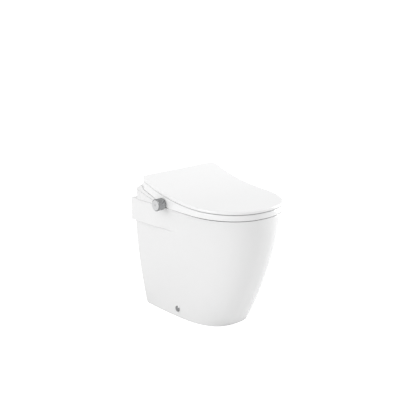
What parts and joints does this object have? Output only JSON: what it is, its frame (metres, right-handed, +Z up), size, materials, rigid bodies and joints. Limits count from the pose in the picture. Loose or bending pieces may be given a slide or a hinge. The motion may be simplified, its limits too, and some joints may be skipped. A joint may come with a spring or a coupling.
{
  "type": "toilet pan with bidet seat",
  "caption": "Back-to-wall toilet pan with a slim bidet seat: soft-close lid, heated ring, side knob, sliding wash nozzles, rear housing.",
  "frame": {"origin": "on the centre line at floor level, 270 mm out from the wall, on the web across the pan's hollow foot", "axes": "-Y is the front, +Y points to the wall, +Z is up, +X is the seated user's left"},
  "size_m": [0.395, 0.539, 0.5232],
  "materials": {
    "glaze": "gloss white glaze on vitreous china",
    "white_plastic": "gloss white moulded resin",
    "chrome": "bright chrome plate",
    "satin": "pale grey satin moulding",
    "steel": "stainless steel",
    "rubber": "pale grey elastomer",
    "grey_plastic": "grey moulded plastic",
    "dark_plastic": "dark moulded plastic",
    "brass": "machined brass",
    "board": "green laminate with parts",
    "copper": "copper foil on film"
  },
  "bodies": {
    "pan_and_housing": {"pan": "glaze", "bowl": "glaze", "trapway": "glaze", "flush_way": "glaze", "outlet_collar": "rubber", "flush_inlet_seal": "rubber", "floor_bracket_right": "steel", "floor_bracket_left": "steel", "side_screw_right": "steel", "side_screw_left": "steel", "side_cap_right": "chrome", "side_cap_left": "chrome", "mounting_plate": "steel", "seat_bolt_right": "steel", "seat_bolt_left": "steel", "bolt_washer_right": "rubber", "bolt_washer_left": "rubber", "wing_nut_right": "grey_plastic", "wing_nut_left": "grey_plastic", "base_tray": "white_plastic", "rear_cover": "white_plastic", "side_cover_right": "white_plastic", "side_cover_left": "white_plastic", "water_inlet": "brass", "cord_gland": "grey_plastic", "inlet_hose": "grey_plastic", "solenoid_valve": "dark_plastic", "water_heater": "satin", "control_board": "board", "mixed_water_hose": "grey_plastic", "nozzle_guide": "grey_plastic", "seat_damper": "dark_plastic", "lid_damper": "dark_plastic", "mixing_valve": "brass", "bezel_nut": "chrome"},
    "seat": {"seat_ring_top": "white_plastic", "seat_ring_base": "white_plastic", "seat_heater_mat": "copper", "seat_buffer_1": "rubber", "seat_buffer_2": "rubber", "seat_buffer_3": "rubber", "seat_buffer_4": "rubber", "seat_damper_shaft": "steel"},
    "lid": {"lid": "white_plastic", "lid_buffer_right": "rubber", "lid_buffer_left": "rubber", "lid_damper_shaft": "steel"},
    "knob": {"knob": "chrome", "knob_face": "satin", "spindle": "steel"},
    "rear_nozzle": {"rear_wash_nozzle": "white_plastic", "rear_nozzle_tip": "satin"},
    "front_nozzle": {"front_wash_nozzle": "white_plastic", "front_nozzle_tip": "satin"},
    "release": {"release_button": "white_plastic", "latch_bar": "steel"}
  },
  "joints": [
    {"name": "seat_hinge", "type": "hinge", "parent": "pan_and_housing", "child": "seat", "pos_m": [0, 0.21, 0.465], "axis": [1, 0, 0], "range_deg": [-95, 0]},
    {"name": "lid_hinge", "type": "hinge", "parent": "seat", "child": "lid", "pos_m": [0, 0.21, 0.465], "axis": [-1, 0, 0], "range_deg": [0, 95]},
    {"name": "knob_turn", "type": "hinge", "parent": "pan_and_housing", "child": "knob", "pos_m": [-0.2, 0.077, 0.443], "axis": [-1, 0, 0], "range_deg": [-90, 90]},
    {"name": "rear_nozzle_slide", "type": "slide", "parent": "pan_and_housing", "child": "rear_nozzle", "axis": [0, -0.9511, -0.309], "range_m": [0, 0.065], "stiffness_N_per_m": 15, "springref_m": -0.01},
    {"name": "front_nozzle_slide", "type": "slide", "parent": "pan_and_housing", "child": "front_nozzle", "axis": [0, -0.9511, -0.309], "range_m": [0, 0.065], "stiffness_N_per_m": 15, "springref_m": -0.01},
    {"name": "release_press", "type": "slide", "parent": "pan_and_housing", "child": "release", "axis": [-1, 0, 0], "range_m": [0, 0.003], "stiffness_N_per_m": 400, "springref_m": -0.001}
  ]
}
